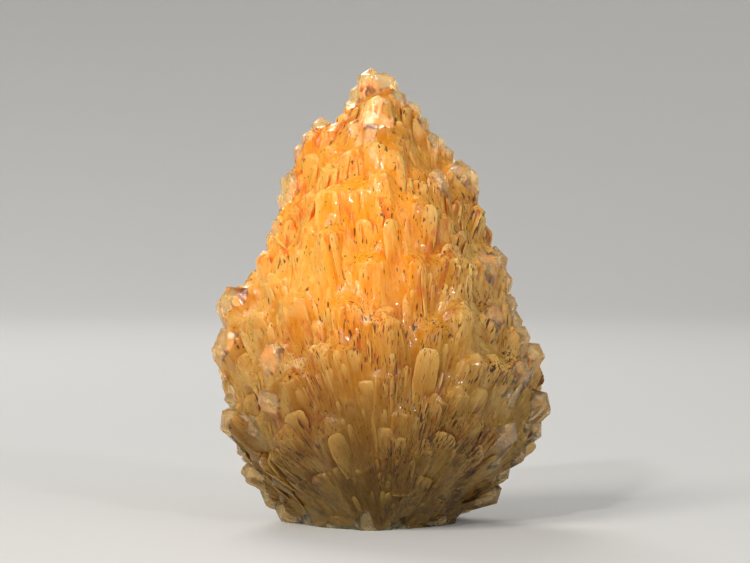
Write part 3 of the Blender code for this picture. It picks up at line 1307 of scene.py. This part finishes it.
    def roughness(self, bench: ShaderBench, fine: Socket) -> Socket:
        """Glossy, with duller patches and streaks."""
        patch = Layer(0.4, 0.7).over(bench, bench.noise(bench.place, 0.5))
        dull = bench.number("MULTIPLY_ADD", patch, 0.2, self.gloss_roughness - 0.08)
        return bench.number("MULTIPLY_ADD", fine, 0.15, dull)

    def relief(self, bench: ShaderBench, spread: Socket, fine: Socket) -> Socket:
        """Striations along the growth and a faint etch all over."""
        ridge = self.ridges.over(bench, self.fan, spread)
        height = bench.number("MULTIPLY_ADD", ridge, 0.6, bench.number("MULTIPLY", fine, 0.7))
        height = bench.number("MULTIPLY_ADD", bench.noise(bench.place, 2.2), 0.35, height)
        return bench.bump(height, 0.8, 0.25)


@dataclass(frozen=True)
class ClearFinish:
    """Clear calcite: see-through, a little milky, with frosted patches.

    Attributes:
        tint: Its faint own colour, with painted light in the upper left and painted shade to the right
            and at the foot.
        soaked: The colour that light takes on along its way through.
        absorption_per_m: How fast it does.
        clarity: The share of light that passes, where the rest scatters in its milkiness.
        scatter_mm: How far that light spreads.
        polish: The roughness of its clearest patches.
        frost: How much rougher its frosted ones are, by the noise that sets them out.
    """

    tint: Shades = Shades(
        glow_painted_light=(0.99, 0.76, 0.38),
        ochre=(0.97, 0.74, 0.38),
        tan=(0.91, 0.69, 0.37),
        olive_painted_shade=(0.74, 0.54, 0.25),
    )
    soaked: Colour = (1.0, 0.78, 0.42)
    absorption_per_m: float = 200.0
    clarity: float = 0.8
    scatter_mm: float = 2.0
    polish: float = 0.06
    frost: Layer = Layer(0.4, 0.65, 0.3)

    def material(self) -> Material:
        """The clear calcite's material."""
        bench = ShaderBench("clear calcite")
        frosted = self.frost.over(bench, bench.noise(bench.place, 0.35))
        bench.dress(
            {
                "Base Color": self.tint.over(bench, Shades.masks(bench)),
                "Roughness": bench.number("ADD", frosted, self.polish),
                "Normal": bench.bump(bench.noise(bench.place, 1.2), 0.35, 0.2),
                "IOR": 1.5,
                "Transmission Weight": self.clarity,
                "Subsurface Weight": 1.0,
                "Subsurface Radius": (1.0, 0.8, 0.5),
                "Subsurface Scale": self.scatter_mm * MM,
            }
        )
        bench.soak(self.soaked, self.absorption_per_m)
        return bench.material


@dataclass
class CalciteCluster:
    """The whole specimen: cloudy calcite, with clear calcite where the crystals stand out.

    Attributes:
        growing: How the crystals fan out.
        filling: The massive calcite in the gaps between the crystals.
        heart: What is cloudy. Crystals are clear where they reach out of it.
        gap_mm: The gap between the clear calcite and the cloudy.
        least_clear_mm3: The smallest clear part.
        flank_facing: How squarely a crystal that turns clear may face the front or the back.
        outer_facing: The same for crystals far out to the sides.
        outer_mm: How far out to the sides these are.
        crown_mm: The height of the crown, where every crystal may turn clear.
        crease_deg: The bend from which an edge is sharp.
    """

    growing: GrowthField = field(default_factory=GrowthField)
    filling: RoundedForm = RoundedForm(1.3, 8, 0.05)
    heart: RoundedForm = RoundedForm(1.6, 26, 0.7, 0.7)
    gap_mm: float = 0.04
    least_clear_mm3: float = 4.0
    flank_facing: float = 0.5
    outer_facing: float = 0.75
    outer_mm: float = 15.0
    crown_mm: float = 66.0
    crease_deg: float = 38.0

    def build(self) -> list[bpy.types.Object]:
        """Makes the body, parts it into cloudy and clear, and puts both in the node's place."""
        solid = welded(frame["nodes"][NODE].data)
        filling = self.filling.mesh(solid)
        coat = CrystalCoat(self.growing, GrowthSurface(grown_together(solid, [filling.copy()])))
        coat.place()
        log.info("%d fine crystals", len(coat.crystals))
        body = grown_together(solid, [filling, *(crystal.mesh("crystal") for crystal in coat.crystals)])
        heart = self.heart.mesh(solid)
        heart_tree = surface_tree(heart)
        clear = self.clear_parts(body, heart)
        cloudy = self.cloudy_part(body, clear, solid)
        clean(clear)
        clean(cloudy)
        SurfaceReading(cloudy, coat.crystals, heart_tree).write()
        for helper in (solid, coat.surface.mesh, body):
            bpy.data.meshes.remove(helper)
        pieces = [
            self.piece("cloudy_calcite", cloudy, CloudyFinish(Fan(self.growing)).material()),
            self.piece("clear_calcite", clear, ClearFinish().material()),
        ]
        pieces[1].visible_shadow = False
        return pieces

    def clear_parts(self, body: Mesh, heart: Mesh) -> Mesh:
        """The larger parts of the body that stand out of the heart at the flanks and the top."""
        tree = surface_tree(heart)
        clear = joined(Joint.DIFFERENCE, body, [heart])
        least = self.least_clear_mm3 * MM**3

        def at_flank(part: set) -> bool:
            """Whether a part of the body looks out to a side, up or down."""
            middle = sum((face.calc_center_median() for face in part), Vector()) / len(part)
            facing = abs(tree.find_nearest(middle)[1].y)
            outer = abs(middle.x) > self.outer_mm * MM and facing < self.outer_facing
            return outer or middle.z > self.crown_mm * MM or facing < self.flank_facing

        keep_parts(clear, lambda parts: [p for p in parts if volume(p) > least and at_flank(p)])
        return clear

    def cloudy_part(
        self, body: Mesh, clear: Mesh, solid: Mesh
    ) -> Mesh:
        """The body without its clear parts and the gap under them."""
        inner = replace(self.heart, swell_mm=self.heart.swell_mm - self.gap_mm)
        cutter = joined(Joint.DIFFERENCE, body, [inner.mesh(solid)])
        clear_tree = surface_tree(clear)
        touch = 0.1 * self.gap_mm * MM

        def of_clear(part: set) -> bool:
            """Whether a part of the cutter shares its skin with a clear part."""
            return any(
                clear_tree.find_nearest(vertex.co, touch)[0] is not None
                for face in part
                for vertex in face.verts
            )

        keep_parts(cutter, lambda parts: [part for part in parts if of_clear(part)])
        cloudy = joined(Joint.DIFFERENCE, body, [cutter])
        keep_parts(cloudy, lambda parts: [max(parts, key=len)])
        return cloudy

    def piece(self, name: str, mesh: Mesh, material: Material) -> bpy.types.Object:
        """One finished piece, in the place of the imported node."""
        mesh.materials.clear()
        mesh.materials.append(material)
        mesh.polygons.foreach_set("material_index", np.zeros(len(mesh.polygons), np.int32))
        mesh.shade_smooth()
        mesh.set_sharp_from_angle(angle=math.radians(self.crease_deg))
        made = bpy.data.objects.new(name, mesh)
        bpy.context.scene.collection.objects.link(made)
        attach(made, "root")
        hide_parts(NODE)
        log.info("%s: %d triangles", name, len(mesh.polygons))
        return made


@dataclass(frozen=True)
class SoftLight:
    """A soft box: its place, side and power."""

    name: str
    place: Colour
    side: float
    watts: float
    colour: Colour = (1.0, 1.0, 1.0)

    def build(self, target: Vector) -> None:
        """Hangs the light and turns it to its target."""
        data = bpy.data.lights.new(self.name, "AREA")
        data.shape = "DISK"
        data.size = self.side
        data.energy = self.watts
        data.color = self.colour
        lamp = bpy.data.objects.new(self.name, data)
        lamp.location = self.place
        lamp.rotation_euler = (target - lamp.location).to_track_quat("-Z", "Y").to_euler()
        bpy.context.scene.collection.objects.link(lamp)


@dataclass
class Studio:
    """A plain pale floor that curves up all round, soft lights and the camera."""

    floor_radius: float = 0.7
    wall_height: float = 0.9
    bend: float = 0.35
    middle: Vector = field(default_factory=lambda: Vector((-1.1, 0.0, 42.2)) * MM)
    frame_width: float = 131.2 * MM
    lens_mm: float = 190.0
    camera_rise_deg: float = 2.5
    lights: tuple[SoftLight, ...] = (
        SoftLight("key light", (-0.42, -0.45, 0.6), 0.34, 3.4, (1.0, 0.97, 0.92)),
        SoftLight("spark light", (-0.25, -0.6, 0.45), 0.05, 1.6),
        SoftLight("second spark", (0.35, -0.6, 0.35), 0.05, 0.8),
        SoftLight("fill light", (0.55, -0.5, 0.35), 0.5, 0.7),
        SoftLight("back light", (-0.2, 0.6, 0.6), 0.4, 3.2),
    )

    def build(self) -> None:
        """Sets up the studio round the object."""
        self.floor()
        for light in self.lights:
            light.build(self.middle)
        self.world()
        self.camera()

    def floor(self) -> None:
        """A round floor that bends up into a wall, as one turned sheet."""
        steps, around = 12, 64
        profile = [(0.0, 0.0), (self.floor_radius, 0.0)]
        for i in range(1, steps + 1):
            angle = math.pi / 2 * i / steps
            profile.append(
                (self.floor_radius + self.bend * math.sin(angle), self.bend * (1 - math.cos(angle)))
            )
        profile.append((self.floor_radius + self.bend, self.wall_height))
        bm = bmesh.new()
        middle = bm.verts.new((0, 0, 0))
        rings = []
        for radius, height in profile[1:]:
            angles = [2 * math.pi * k / around for k in range(around)]
            ring = [(radius * math.cos(angle), radius * math.sin(angle), height) for angle in angles]
            rings.append([bm.verts.new(corner) for corner in ring])
        for k in range(around):
            after = (k + 1) % around
            bm.faces.new((middle, rings[0][k], rings[0][after]))
            for low, high in zip(rings, rings[1:]):
                bm.faces.new((low[k], high[k], high[after], low[after]))
        mesh = bpy.data.meshes.new("floor")
        bm.to_mesh(mesh)
        bm.free()
        mesh.shade_smooth()
        material = bpy.data.materials.new("pale floor")
        material.use_nodes = True
        surface = material.node_tree.nodes["Principled BSDF"].inputs
        surface["Base Color"].default_value = (0.62, 0.61, 0.59, 1.0)
        surface["Roughness"].default_value = 0.9
        surface["Specular IOR Level"].default_value = 0.2
        mesh.materials.append(material)
        floor = bpy.data.objects.new("floor", mesh)
        bpy.context.scene.collection.objects.link(floor)
        floor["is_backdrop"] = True

    def world(self) -> None:
        """An even pale sky."""
        world = bpy.data.worlds.new("studio")
        world.use_nodes = True
        background = world.node_tree.nodes["Background"]
        background.inputs["Color"].default_value = (0.95, 0.97, 1.0, 1.0)
        background.inputs["Strength"].default_value = 0.25
        bpy.context.scene.world = world

    def camera(self) -> None:
        """The camera, level with the specimen's middle and straight in front of it."""
        data = bpy.data.cameras.new("camera")
        data.lens = self.lens_mm
        distance = self.frame_width * data.lens / data.sensor_width
        rise = math.radians(self.camera_rise_deg)
        camera = bpy.data.objects.new("camera", data)
        camera.location = self.middle + Vector((0, -math.cos(rise), math.sin(rise))) * distance
        camera.rotation_euler = (self.middle - camera.location).to_track_quat("-Z", "Y").to_euler()
        bpy.context.scene.collection.objects.link(camera)
        bpy.context.scene.camera = camera
        bpy.context.scene.view_settings.view_transform = "Standard"


def main() -> None:
    """Builds the specimen and the studio, and measures both boxes."""
    logging.basicConfig(level=logging.INFO, format="%(name)s: %(message)s")
    CalciteCluster().build()
    Studio().build()
    log.info("built the studio")
    boxes = {"cad": CAD_BOX, "visual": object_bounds()}
    sizes = {name: [list(corner) for corner in box] for name, box in boxes.items()}


if __name__ == "__main__":
    main()
